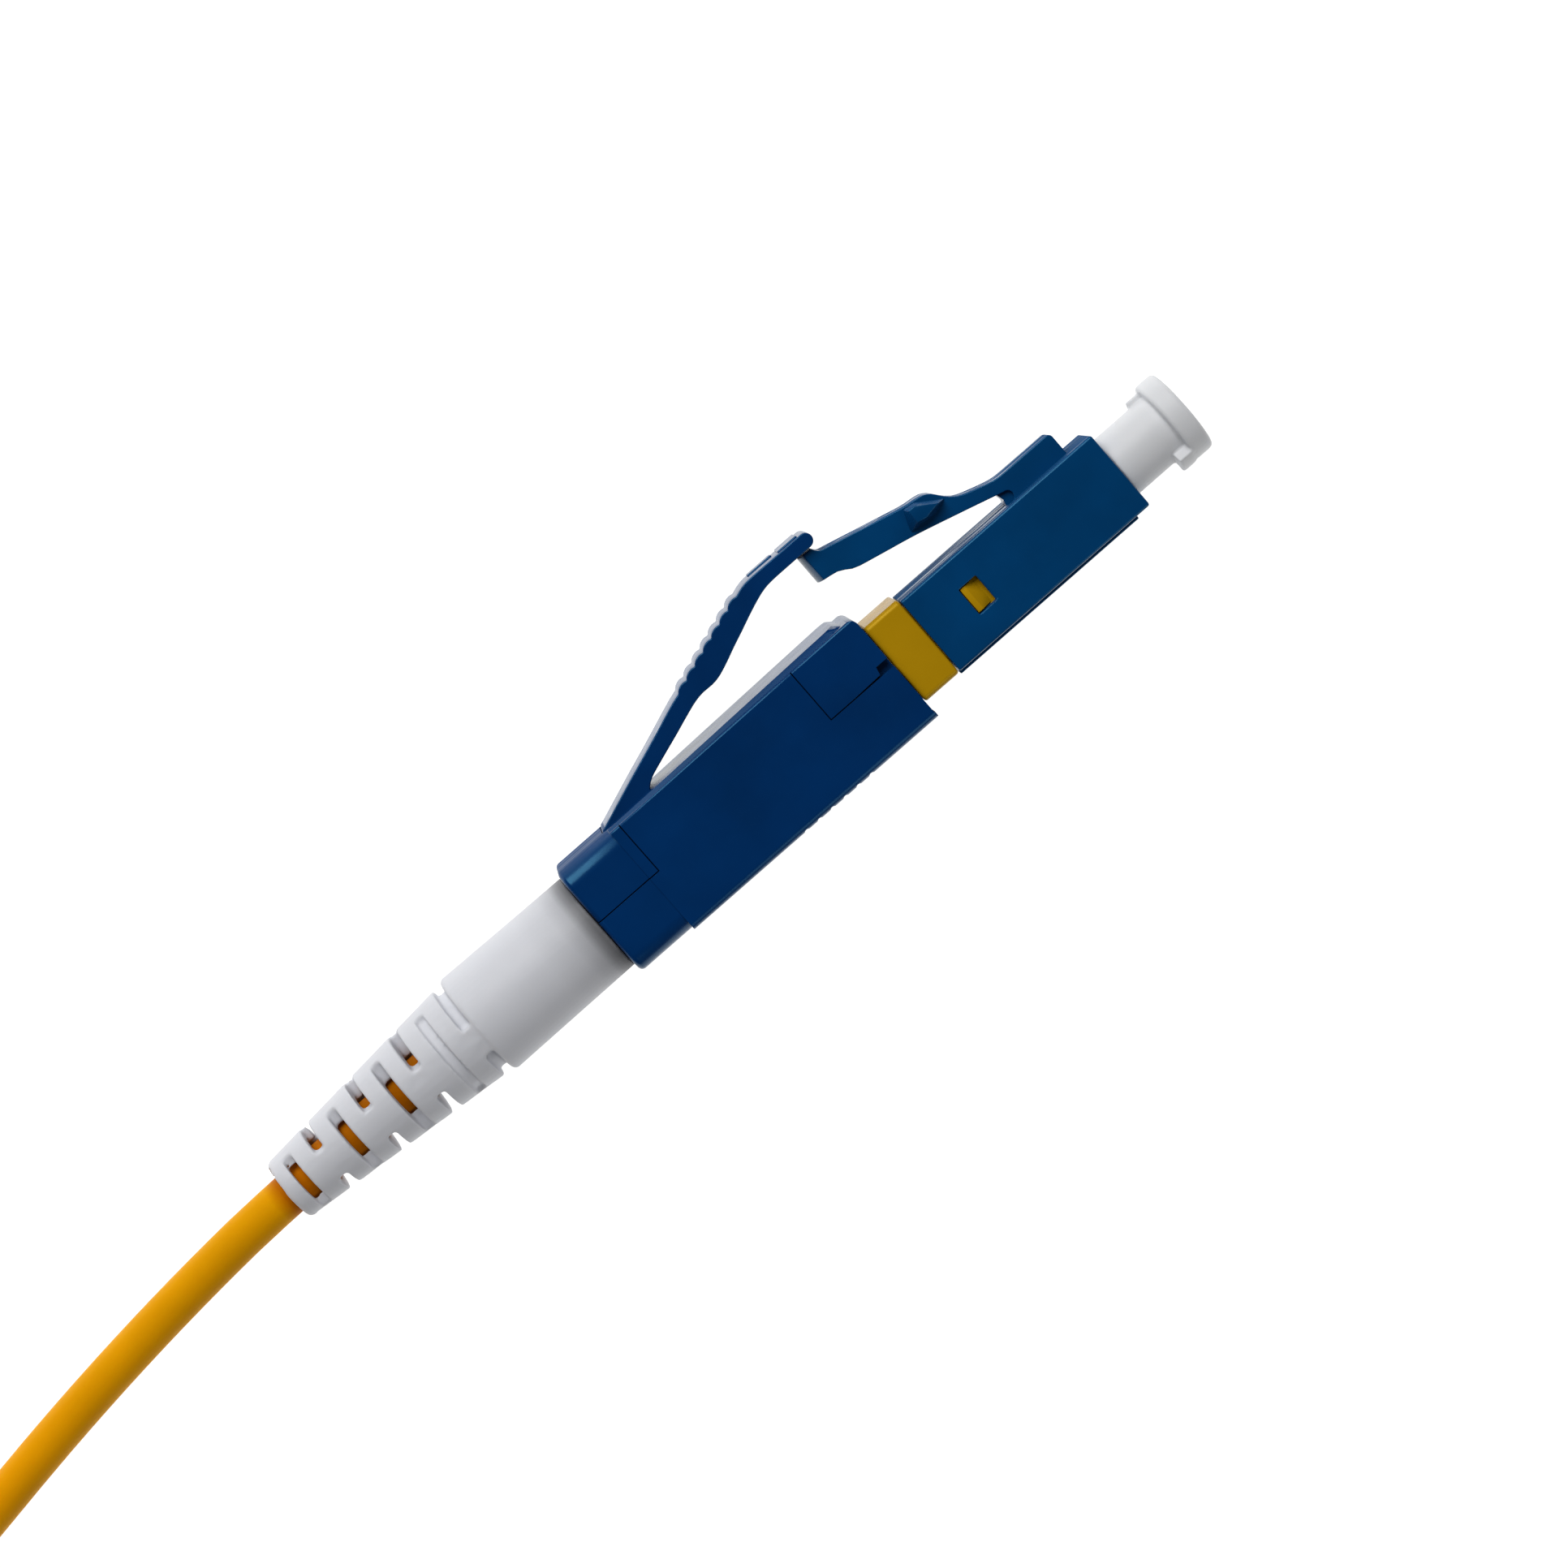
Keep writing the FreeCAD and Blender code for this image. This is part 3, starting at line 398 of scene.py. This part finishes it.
def keep(name, mesh, finish):
    """Make a piece of a mesh whose points are in metres."""
    made = bpy.data.objects.new(name, mesh)
    bpy.context.scene.collection.objects.link(made)
    mesh.materials.clear()
    mesh.materials.append(finish)
    return made


def settle(piece):
    """Turn the piece's modifiers into its mesh."""
    with bpy.context.temp_override(object=piece, active_object=piece, selected_objects=[piece]):
        for modifier in list(piece.modifiers):
            bpy.ops.object.modifier_apply(modifier=modifier.name)


def soften(piece, width, segments=2):
    """Round the piece's sharp edges and shade it smooth."""
    bevel = piece.modifiers.new("edges", "BEVEL")
    bevel.width = width * MM
    bevel.segments = segments
    bevel.limit_method = "ANGLE"
    bevel.angle_limit = math.radians(SHARP)
    bevel.use_clamp_overlap = True
    bevel.miter_outer = "MITER_ARC"
    settle(piece)
    shade(piece)


def smooth(piece):
    piece.data.polygons.foreach_set("use_smooth", [True] * len(piece.data.polygons))


def shade(piece):
    """Smooth shading that keeps the flat faces flat."""
    smooth(piece)
    weighted = piece.modifiers.new("normals", "WEIGHTED_NORMAL")
    weighted.keep_sharp = True
    weighted.weight = 80
    settle(piece)


def clean_copy(node):
    """A copy of a CAD node's mesh with its seams merged and its flat faces whole."""
    mesh = nodes[node].data.copy()
    if mesh.has_custom_normals:
        mesh.attributes.remove(mesh.attributes["custom_normal"])
    with edited(mesh) as work:
        bmesh.ops.remove_doubles(work, verts=work.verts, dist=SEAM * MM)
        bmesh.ops.dissolve_limit(
            work,
            angle_limit=math.radians(FLAT),
            use_dissolve_boundaries=False,
            verts=work.verts,
            edges=work.edges,
        )
    return mesh


def open_above(mesh, height):
    """Take away the faces that stand on a top face: those with a corner above its height at x."""
    with edited(mesh) as work:
        high = [f for f in work.faces if any(v.co.y > height(v.co.x / MM) * MM for v in f.verts)]
        bmesh.ops.delete(work, geom=high, context="FACES")


def bevelled(name, node, finish, width, body="connector", height=None, extra=None):
    """A copy of a CAD node with rounded edges, without what stands above a height."""
    piece = keep(name, clean_copy(node), finish)
    if height is not None:
        open_above(piece.data, height)
    if extra is not None:
        extra(piece.data)
    soften(piece, width)
    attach(piece, body)
    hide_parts(node)


def moulded(name, node, finish, voxel, laps, body="connector", extra=None):
    """A copy of a CAD node with all its edges softened, as on a soft moulding."""
    piece = keep(name, clean_copy(node), finish)
    if extra is not None:
        extra(piece.data)
    remesh = piece.modifiers.new("skin", "REMESH")
    remesh.mode = "VOXEL"
    remesh.voxel_size = voxel * MM
    remesh.adaptivity = 0.0
    relax = piece.modifiers.new("relax", "SMOOTH")
    relax.factor = 0.5
    relax.iterations = laps
    settle(piece)
    smooth(piece)
    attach(piece, body)
    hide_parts(node)


def arc(centre, r, start, end, count):
    """Points on an arc, from one angle to the other in degrees."""
    turns = [math.radians(start + (end - start) * i / count) for i in range(count + 1)]
    return [(centre[0] + r * math.cos(t), centre[1] + r * math.sin(t)) for t in turns]


def catmull_rom(t, p, q, r, s):
    """The curve's value between q, at t = 0, and r, at t = 1; p and s are their neighbours."""
    curve = 2 * q + (r - p) * t + (2 * p - 5 * q + 4 * r - s) * t * t
    return 0.5 * (curve + (3 * q - p - 3 * r + s) * t**3)


def eased(points, step):
    """A smooth line through the points, with about one point per step."""
    full = [points[0]] + points + [points[-1]]
    line = []
    for a, b, c, d in zip(full, full[1:], full[2:], full[3:]):
        count = max(1, round(math.dist(b, c) / step))
        for i in range(count):
            t = i / count
            line.append(tuple(catmull_rom(t, *values) for values in zip(a, b, c, d)))
    return line + [points[-1]]


def slab_mesh(name, profile, stations):
    """Extrude an XY outline along Z through the given stations, and cap it."""
    mesh = bpy.data.meshes.new(name)
    with built(mesh) as work:
        rings = [ring_of(work, [(x, y, z) for x, y in profile]) for z in stations]
        for low, high in zip(rings, rings[1:]):
            join_rings(work, low, high)
        work.faces.new(rings[0][::-1])
        work.faces.new(rings[-1])
    return mesh


# --- Tail ---------------------------------------------------------------------------------------
CABLE_R = 1.1
STRAND_PITCH = 2.25
HANK_BEND_R = 6.7
HANK_LAYERS = 5
HANK_STRAIGHT = 33.77
FLOOR_Z = -2.95
STRAP_ROOM = 0.33
LOW_Z = FLOOR_Z + STRAP_ROOM + CABLE_R
ROUTE = [
    (-24.97, 0, 0),
    (-54.4, 0, 0),
    (-62.7, -0.485, -0.5),
    (-71.3, -1.494, -1.25),
    (-79.8, -2.92, LOW_Z - 0.1),
]
HANK_ENTRY = (-91.0, -4.7)
POINTS_PER_BEND = 6
CLIMB = 7.0
BARE_END_RUN = 1


def hank_points():
    """Control points of the wound tail: up on the outer turns, over, and down on the inner ones."""
    outer = HANK_BEND_R + STRAND_PITCH
    right = HANK_ENTRY[0]
    left = right - HANK_STRAIGHT
    middle = (left + right) / 2
    centre_y = HANK_ENTRY[1] + outer
    step = math.pi / POINTS_PER_BEND

    def bend(x, start, r, z):
        spread = r / math.cos(step / 2)
        for number in range(POINTS_PER_BEND):
            turn = start - (number + 0.5) * step
            yield (x + spread * math.cos(turn), centre_y + spread * math.sin(turn), z)

    points = [(right, HANK_ENTRY[1], LOW_Z)]
    for lap in range(2 * (HANK_LAYERS - 1)):
        rising = lap < HANK_LAYERS - 1
        layer = lap if rising else 2 * (HANK_LAYERS - 1) - lap
        r = outer if rising else HANK_BEND_R
        z = LOW_Z + layer * STRAND_PITCH
        next_z = z + (STRAND_PITCH if rising else -STRAND_PITCH)
        if lap == HANK_LAYERS - 1:
            points.append((middle + CLIMB, centre_y - outer, z))
            points.append((middle - CLIMB, centre_y - r, z))
        points.extend(bend(left, -math.pi / 2, r, z))
        points.append((middle - CLIMB, centre_y + r, z))
        points.append((middle + CLIMB, centre_y + r, next_z))
        points.extend(bend(right, math.pi / 2, r, next_z))
    points.append((right - BARE_END_RUN, centre_y - HANK_BEND_R, LOW_Z))
    return points


def nurbs(name, points):
    curve = bpy.data.curves.new(name, "CURVE")
    curve.dimensions = "3D"
    spline = curve.splines.new("NURBS")
    spline.points.add(len(points) - 1)
    for place, (x, y, z) in zip(spline.points, points):
        place.co = (x * MM, y * MM, z * MM, 1)
    spline.order_u = 3
    spline.use_endpoint_u = True
    spline.resolution_u = 6
    made = bpy.data.objects.new(name, curve)
    bpy.context.scene.collection.objects.link(made)
    return made


tail = nurbs("tail", ROUTE + hank_points())
tail.data.bevel_depth = CABLE_R * MM
tail.data.bevel_resolution = 7
tail.data.use_fill_caps = True
tail.data.materials.append(jacket_yellow)
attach(tail, "connector")
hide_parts("cable", "cord_hank")


# --- Latch: root block, arm and lugs in one moulding --------------------------------------------
LATCH_HALF = 1.1
LATCH_END = -14.72
LATCH_BULGE = 0.32  # how far the end face rounds out at its middle
LATCH_STATIONS = (-1, -0.85, -0.6, -0.3, 0, 0.3, 0.6, 0.85, 1)
BULGE_START = -14.45
SKIN_EDGE = 0.07
SKIN_SEGMENTS = 3
LUG_HALF = 1.95
LUG_SINK = 0.2
LUG_FOOT = [(-10.0, 4.34), (-9.5, 5.58), (-8.8, 5.5), (-7.4, 4.6), (-8.2, 4.3)]
LUG_CROWN = [(-9.36, 4.66), (-9.36, 5.42), (-8.95, 5.4), (-7.95, 4.72), (-8.85, 4.56)]
WEB = [(-5.42, 2.2), (-5.3, 2.58), (-5.42, 3.0), (-4.6, 3.0), (-4.6, 2.2)]
WEB_HALF = 0.8


def latch_outline():
    under = [(-5.05, 2.9), (-5.9, 3.13), (-7.25, 3.5), (-9.7, 4.15), (-11.5, 4.55), (-12.9, 4.86)]
    under += [(-13.3, 5.0), (-13.6, 5.2), (-13.95, 5.38), (-14.35, 5.46), (LATCH_END, 5.52)]
    end = [(LATCH_END, 6.0), (LATCH_END, 6.5), (LATCH_END, 7.13)]
    step = [(-14.2, 7.13), (-14.12, 6.96), (-13.95, 6.78), (-13.7, 6.7)]
    top = [(-13.6, 6.68), (-11.5, 6.16), (-9.43, 5.66), (-8.75, 5.56), (-8.25, 5.47), (-7.88, 5.24)]
    top += [(-7.6, 4.9), (-7.3, 4.55), (-7.05, 4.34), (-6.7, 4.16), (-6.2, 3.99), (-5.6, 3.81)]
    top += [(-5.1, 3.68), (-4.7, 3.63)]
    root = [(-4.3, 3.62), (-3.0, 3.62)] + arc((-1.64, 3.37), 0.25, 90, 0, 6) + [(-1.39, 2.15)]
    slot = [(-5.05, 2.15)] + arc((-5.05, 2.58), 0.32, -90, 90, 10)
    return root + slot + eased(under, 0.3)[1:] + end + eased(step, 0.08) + eased(top, 0.25)


def latch_skin():
    stations = [LATCH_HALF * s for s in LATCH_STATIONS]
    mesh = slab_mesh("latch_skin", latch_outline(), stations)
    for vertex in mesh.vertices:
        x, y, z = vertex.co / MM
        if x < BULGE_START:
            vertex.co.x -= LATCH_BULGE * (1 - (z / LATCH_HALF) ** 2) * MM
    piece = keep("latch_skin", mesh, housing_blue)
    add_lugs(piece.data)
    soften(piece, SKIN_EDGE, SKIN_SEGMENTS)
    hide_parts("latch_arm")
    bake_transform(piece)


def add_lugs(mesh):
    """The two stops at the arm's sides, with a steep rear face, and the web in the slot's end."""
    with built(mesh) as work:
        for side in (1, -1):
            inner, outer = side * (LATCH_HALF - LUG_SINK), side * LUG_HALF
            foot = [(x, y, inner) for x, y in LUG_FOOT]
            add_prism(work, foot, [(x, y, outer) for x, y in LUG_CROWN])
        add_bar(work, WEB, -WEB_HALF, WEB_HALF)


# --- Trigger lever with its root ----------------------------------------------------------------
LEVER_HALF = 1.6
RIB_COUNT = 7
RIB_FIRST = (-24.0, 6.05)
RIB_LAST = (-18.62, 7.83)
RIB_HEIGHT = 0.14
RIB_POWER = 0.8  # 0.5 would be a half ellipse, and 1 a parabola
RIB_STEPS = 8
PAD_TOP = 8.05
PAD_LOW = 7.25
TIP_X = -13.77
BEAD_HEIGHT = 0.1
BEAD_ROOT = 0.15
BEADS = [(-17.5, -15.9, -1.2, -0.2), (-15.6, -14.35, -1.2, 1.2)]  # back, front, low z, high z


def lever_outline():
    under = [(-28.3, 3.25), (-28.1, 3.5), (-27.7, 3.78), (-26.9, 4.08), (-25.3, 4.62)]
    under += [(-24.46, 4.92), (-23.6, 5.2), (-23.0, 5.3), (-22.4, 5.29), (-21.85, 5.38)]
    under += [(-21.1, 5.66), (-20.4, 5.97), (-19.5, 6.34), (-18.7, 6.68), (-17.9, 6.99)]
    under += [(-17.3, 7.17), (-16.7, 7.24), (-15.6, PAD_LOW)]
    half = (PAD_TOP - PAD_LOW) / 2
    tip = arc((TIP_X - half, PAD_LOW + half), half, -90, 90, 12)
    pad = [(-15.2, PAD_TOP), (-17.2, PAD_TOP + 0.02), (-17.9, PAD_TOP - 0.01), (-18.35, 7.93)]
    pad = eased(pad + [RIB_LAST], 0.2)
    ribs = []
    for number in range(RIB_COUNT):
        ribs.extend(rib(number)[:-1])
    back = [RIB_FIRST, (-24.5, 5.92), (-26.9, 5.03), (-28.5, 4.46), (-30.2, 3.83), (-31.3, 3.42)]
    return eased(under, 0.3) + tip + pad[:-1] + ribs + eased(back, 0.3) + [(-31.5, 3.2)]


def rib(number):
    """One grip rib, from its front valley to its back valley."""
    span_x = (RIB_FIRST[0] - RIB_LAST[0]) / RIB_COUNT
    span_y = (RIB_FIRST[1] - RIB_LAST[1]) / RIB_COUNT
    x, y = RIB_LAST[0] + number * span_x, RIB_LAST[1] + number * span_y
    length = math.hypot(span_x, span_y)
    out_x, out_y = span_y / length, -span_x / length
    points = []
    for i in range(RIB_STEPS + 1):
        t = i / RIB_STEPS
        rise = RIB_HEIGHT * (1 - (2 * t - 1) ** 2) ** RIB_POWER
        points.append((x + span_x * t + out_x * rise, y + span_y * t + out_y * rise))
    return points


def lever_skin():
    mesh = slab_mesh("lever_skin", lever_outline(), [-LEVER_HALF, 0, LEVER_HALF])
    piece = keep("lever_skin", mesh, block_blue)
    add_beads(piece.data)
    soften(piece, SKIN_EDGE, SKIN_SEGMENTS)
    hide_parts("trigger_lever")
    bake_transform(piece)


def add_beads(mesh):
    """The two low raised pads on the lever's flat stretch."""
    low_y, high_y = PAD_TOP - BEAD_ROOT, PAD_TOP + BEAD_HEIGHT
    with built(mesh) as work:
        for back, front, low_z, high_z in BEADS:
            section = [(back, low_y), (front, low_y), (front, high_y), (back, high_y)]
            add_bar(work, section, low_z, high_z)


# --- Pieces from the CAD meshes -----------------------------------------------------------------
FRONT_TOP = 2.262  # just above the front housing's top face
FRONT_FACES = 1.9  # farther out than this lie the outer faces of the front housing
FRONT_GROWTH = 1.02
FRONT_DROP = 0.02
COLLAR = (-14.87, -12.75)
COLLAR_MARGIN = 0.1
COLLAR_NECK = 1.95  # what lies nearer to the axis than this is inside the housings
COLLAR_GROWTH = 1.06
COLLAR_RISE = 0.06
RIM = 0.25
FRONT_RIM_SHIFT = 0.06
BACK_RIM_SHIFT = 0.04
BOOT_FRONT = -34.6
BOOT_GROWTH = 1.03
BOOT_RISE = 0.03
BOOT_SHELVES = [(-52.95, 1.86), (-49.7, 2.12), (-46.45, 2.38)]  # x and radius
SHELF_HALF = 0.45
SHELF_FOOT = 1.1
SHELF_NEAR = -0.35
SHELF_FAR = -1.2
BOOT_END = -55.25
END_LENGTH = 0.35
END_R = 1.77
END_ROUNDING = 0.15
END_BORE_R = 1.3
RIDGE_END = -16.02
RIDGE_Y = 3.34  # just above its top, at the rear section
RIDGE_RISE = 0.3
SIDE_TOP = (3.22, 3.35)  # of the plate's sides, at its rear and front end
SHOULDER_FOOT = 2.74
SHOULDER_TOP = 2.42
SHOULDER_RUN = 0.42
SHOULDER_SINK = 0.03
PLATE_CORNER_R = 0.5


def turn_over(mesh):
    """Half a turn about X: the cap's lower ear is the longer one."""
    mesh.transform(Matrix.Diagonal((1, -1, -1, 1)))


def dress_boot(mesh):
    """The boot is a little fuller outside the housing, with a wall behind three of its notches."""
    with built(mesh) as work:
        for x, r in BOOT_SHELVES:
            section = shelf_section(r)
            ends = ([(x + d, y, z) for y, z in section] for d in (-SHELF_HALF, SHELF_HALF))
            add_prism(work, *ends)
        for vertex in work.verts:
            if vertex.co.x < BOOT_FRONT * MM:
                vertex.co.y = vertex.co.y * BOOT_GROWTH + BOOT_RISE * MM
                vertex.co.z *= BOOT_GROWTH
            square_end(vertex)


def shelf_section(r):
    """The (y, z) points of a wall that reaches from its foot out to radius r."""
    near_top, far_top = (math.sqrt(r**2 - z**2) for z in (SHELF_NEAR, SHELF_FAR))
    section = [(SHELF_FOOT, SHELF_NEAR), (near_top, SHELF_NEAR)]
    return section + [(far_top, SHELF_FAR), (SHELF_FOOT, SHELF_FAR)]


def square_end(vertex):
    """Move a corner outward where the boot's thin end is too round."""
    short = 1 - (vertex.co.x / MM - BOOT_END) / END_LENGTH
    r = math.hypot(vertex.co.y, vertex.co.z) / MM
    if short > 0 and r > END_BORE_R:
        grown = (END_R - END_ROUNDING * short**2) / r
        vertex.co.y *= grown
        vertex.co.z *= grown


def fill_out(mesh):
    """The front housing's flanks and faces are a little fuller than nominal."""
    for vertex in mesh.vertices:
        if abs(vertex.co.z) > FRONT_FACES * MM or abs(vertex.co.y) > FRONT_FACES * MM:
            vertex.co.y = vertex.co.y * FRONT_GROWTH - FRONT_DROP * MM


def fill_collar(mesh):
    """The collar is fuller than nominal and sits close to both housings."""
    back, front = COLLAR
    for vertex in mesh.vertices:
        x, y, z = vertex.co / MM
        outer = math.hypot(y, z) >= COLLAR_NECK
        if outer and back - COLLAR_MARGIN < x < front + COLLAR_MARGIN:
            vertex.co.y = (y * COLLAR_GROWTH + COLLAR_RISE) * MM
            if x > front - RIM:
                vertex.co.x += FRONT_RIM_SHIFT * MM
            elif x < back + RIM:
                vertex.co.x -= BACK_RIM_SHIFT * MM


def ridge_top(x):
    """Just above the ridge that the lever's root stands on."""
    rise = RIDGE_RISE * (x - REAR_SECTION_X) / (RIDGE_END - REAR_SECTION_X)
    return RIDGE_Y + max(0, rise)


def add_plateau(mesh):
    """The plate's top with sloping shoulders, over the ridge."""
    foot_x = RIDGE_END + SHOULDER_RUN
    foot_z, top_z = SHOULDER_FOOT, SHOULDER_TOP
    rear_y, front_y = (y - SHOULDER_SINK for y in SIDE_TOP)
    base = [(REAR_SECTION_X, rear_y, foot_z), (foot_x, front_y, foot_z)]
    base += [(foot_x, front_y, -foot_z), (REAR_SECTION_X, rear_y, -foot_z)]
    rear_y, front_y = ridge_top(REAR_SECTION_X), ridge_top(RIDGE_END)
    top = [(REAR_SECTION_X, rear_y, top_z), (RIDGE_END, front_y, top_z)]
    top += [(RIDGE_END, front_y, -top_z), (REAR_SECTION_X, rear_y, -top_z)]
    with built(mesh) as work:
        low, high = add_prism(work, base, top)
        front_corners = ({low[1], high[1]}, {low[2], high[2]})
        corners = [e for e in work.edges if set(e.verts) in front_corners]
        bmesh.ops.bevel(
            work,
            geom=corners,
            offset=PLATE_CORNER_R * MM,
            segments=5,
            affect="EDGES",
            profile=0.5,
        )


latch_skin()
lever_skin()
bevelled(
    "front_shell",
    "front_housing",
    housing_blue,
    0.07,
    height=lambda x: FRONT_TOP,
    extra=fill_out,
)
bevelled("block_shell", "rear_housing", block_blue, 0.06)
bevelled(
    "clip_shell",
    "trigger_clip",
    block_blue,
    0.06,
    height=ridge_top,
    extra=add_plateau,
)
bevelled("collar", "inner_body", collar_amber, 0.04, extra=fill_collar)
moulded("boot_skin", "boot", boot_white, 0.098, 2, extra=dress_boot)
moulded("cap_skin", "dust_cap", cap_white, 0.07, 10, body="cap", extra=turn_over)


# --- Stage --------------------------------------------------------------------------------------
def stage():
    """The pale floor; it glows a little, so that it stays white around the shadow."""
    bpy.ops.mesh.primitive_plane_add(size=3, location=(0, 0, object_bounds()[0].z))
    floor = bpy.context.object
    floor.name = "floor"
    made, tree, shader = material("floor")
    shader.inputs["Base Color"].default_value = (0.25, 0.25, 0.25, 1)
    shader.inputs["Roughness"].default_value = 0.9
    shader.inputs["Emission Color"].default_value = (1, 1, 0.99, 1)
    shader.inputs["Emission Strength"].default_value = 1.0
    floor.data.materials.append(made)
    floor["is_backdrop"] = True


def softbox(name, place, size, power):
    """A square light that faces the connector."""
    data = bpy.data.lights.new(name, "AREA")
    data.energy = power
    data.size = size
    lamp = bpy.data.objects.new(name, data)
    lamp.location = place
    lamp.rotation_mode = "QUATERNION"
    lamp.rotation_quaternion = (Vector(place) - AIM).to_track_quat("Z", "Y")
    bpy.context.scene.collection.objects.link(lamp)


def world():
    made = bpy.data.worlds.new("world")
    bpy.context.scene.world = made
    made.use_nodes = True
    made.node_tree.nodes["Background"].inputs["Color"].default_value = (1, 1, 1, 1)
    made.node_tree.nodes["Background"].inputs["Strength"].default_value = 0.06


stage()
world()
softbox("key", (-0.02, 0.39, 0.385), 0.4, 2.6)
softbox("fill", (0.1, -0.4, 0.3), 0.3, 0.45)
bpy.context.scene.view_settings.view_transform = "Standard"
